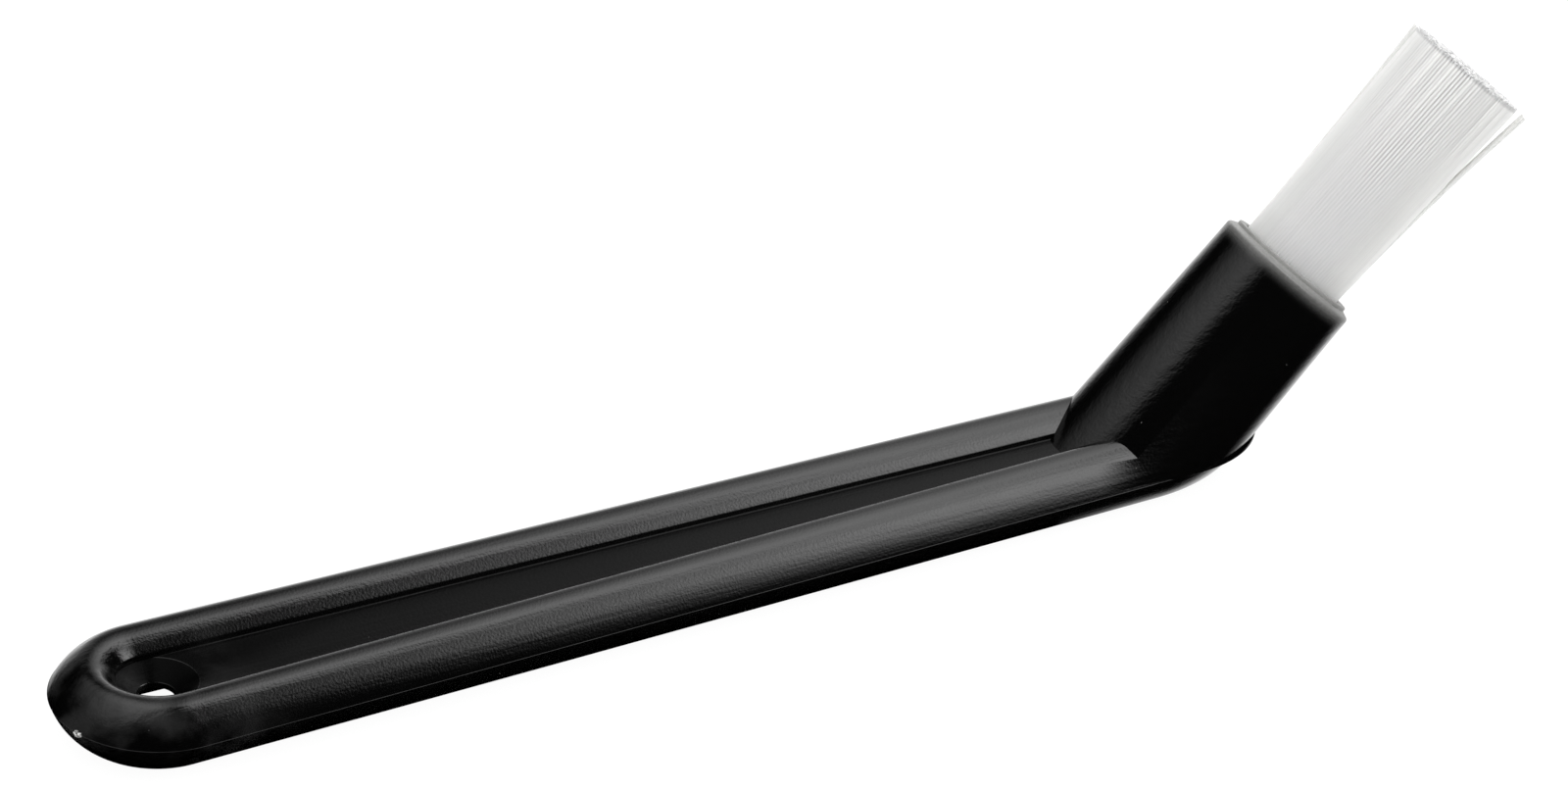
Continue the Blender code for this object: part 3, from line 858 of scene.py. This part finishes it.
def soft_box(name, centre, roll, size, peak, radiance):
    """A rectangular lamp that faces the brush. Its light rises from its edges to a peak on its face."""
    away = (Vector(centre) - LIT_POINT).normalized()
    level = Vector((math.cos(roll), math.sin(roll), 0.0))
    x_axis = (level - away * level.dot(away)).normalized()
    lamp = bpy.data.lights.new(name, "AREA")
    lamp.shape = "RECTANGLE"
    lamp.size, lamp.size_y = size
    lamp.energy = radiance * math.pi * lamp.size * lamp.size_y
    lamp.use_nodes = True
    tree = lamp.node_tree
    spot = add_node(tree, "ShaderNodeNewGeometry").outputs["Parametric"]
    parts = add_node(tree, "ShaderNodeSeparateXYZ", {0: spot}).outputs
    fades = []
    for axis in (0, 1):
        for edge in (0.0, 1.0):
            rise = {"Value": parts[axis], "From Min": edge, "From Max": peak[axis]}
            rise = add_node(tree, "ShaderNodeMapRange", rise, interpolation_type="SMOOTHSTEP")
            fades.append(rise.outputs[0])
    strength = fades[0]
    for fade in fades[1:]:
        strength = {0: strength, 1: fade}
        strength = add_node(tree, "ShaderNodeMath", strength, operation="MULTIPLY").outputs[0]
    tree.links.new(strength, tree.nodes["Emission"].inputs["Strength"])
    made = bpy.data.objects.new(name, lamp)
    turn = Matrix((x_axis, away.cross(x_axis), away)).transposed().to_4x4()
    made.matrix_world = Matrix.Translation(centre) @ turn
    bpy.context.scene.collection.objects.link(made)


soft_box(
    "overhead_box",
    centre=(0.320, 0.179, 0.356),
    roll=math.radians(-21.0),
    size=(0.50, 1.09),
    peak=(0.745, 0.213),
    radiance=3.3,
)
soft_box(
    "near_box",
    centre=(0.319, -0.200, 0.220),
    roll=math.radians(-46.4),
    size=(0.404, 0.34),
    peak=(0.386, 0.567),
    radiance=4.45,
)
soft_box(
    "left_box",
    centre=(-0.300, 0.271, 0.719),
    roll=math.radians(82.8),
    size=(1.6, 1.4),
    peak=(0.333, 0.2),
    radiance=1.74,
)

# Surroundings
#
# A white sweep stands behind the brush and shows in the plastic as three soft glows in a dark studio. It
# fills matt surfaces with even light, and the camera, and light that has passed through the nylon, see
# plain white everywhere.

# Each glow's azimuth and elevation, the cosines off its middle where it starts and is full, and its level.
SWEEP_GLOWS = (
    (math.radians(50.0), math.radians(-22.0), 0.70, 0.96, 1.0),
    (math.radians(66.4), math.radians(4.8), 0.83, 0.99, 0.37),
    (math.radians(25.0), math.radians(-40.0), 0.90, 0.99, 0.3),
)
FILL_LEVEL = 0.8

world = bpy.data.worlds.new("studio")
bpy.context.scene.world = world
world.use_nodes = True
tree = world.node_tree
direction = add_node(tree, "ShaderNodeTexCoord").outputs["Generated"]
rays = add_node(tree, "ShaderNodeLightPath").outputs
glow = {0: rays["Is Diffuse Ray"], 1: FILL_LEVEL}
glow = add_node(tree, "ShaderNodeMath", glow, operation="MULTIPLY").outputs[0]
for azimuth, elevation, edge, full, level in SWEEP_GLOWS:
    flat = math.cos(elevation)
    centre = (flat * math.cos(azimuth), flat * math.sin(azimuth), math.sin(elevation))
    facing = {0: direction, 1: centre}
    facing = add_node(tree, "ShaderNodeVectorMath", facing, operation="DOT_PRODUCT").outputs["Value"]
    rise = {"Value": facing, "From Min": edge, "From Max": full, "To Max": level}
    rise = add_node(tree, "ShaderNodeMapRange", rise, interpolation_type="SMOOTHSTEP").outputs[0]
    glow = add_node(tree, "ShaderNodeMath", {0: rise, 1: glow}, operation="ADD").outputs[0]
clear_view = {0: rays["Is Camera Ray"], 1: rays["Is Transmission Ray"]}
clear_view = add_node(tree, "ShaderNodeMath", clear_view, operation="MAXIMUM").outputs[0]
strength = add_node(tree, "ShaderNodeMix", {0: clear_view, 2: glow, 3: 1.0}).outputs[0]
background = tree.nodes["Background"]
background.inputs["Color"].default_value = WHITE
tree.links.new(strength, background.inputs["Strength"])

# Camera
#
# The photograph's viewing angle and a long lens, found from the handle's outline, the line of flash, the
# hanging hole and the socket's rim.

AZIMUTH = math.radians(-29.28)
ELEVATION = math.radians(31.68)
ROLL = math.radians(2.13)
AIM = Vector((0.11894, 0.00236, 0.02930))
DISTANCE = 2.412
LENS_LENGTH = 360.0
SENSOR_WIDTH = 36.0
FAR_CLIP = 20.0

camera_data = bpy.data.cameras.new("camera")
camera_data.lens = LENS_LENGTH
camera_data.sensor_width = SENSOR_WIDTH
camera_data.clip_end = FAR_CLIP
camera = bpy.data.objects.new("camera", camera_data)
bpy.context.scene.collection.objects.link(camera)
bpy.context.scene.camera = camera
camera.matrix_world = (
    Matrix.Translation(AIM)
    @ Matrix.Rotation(AZIMUTH, 4, "Z")
    @ Matrix.Rotation(math.pi / 2 - ELEVATION, 4, "X")
    @ Matrix.Rotation(ROLL, 4, "Z")
    @ Matrix.Translation((0.0, 0.0, DISTANCE))
)
bpy.context.scene.view_settings.view_transform = "Standard"
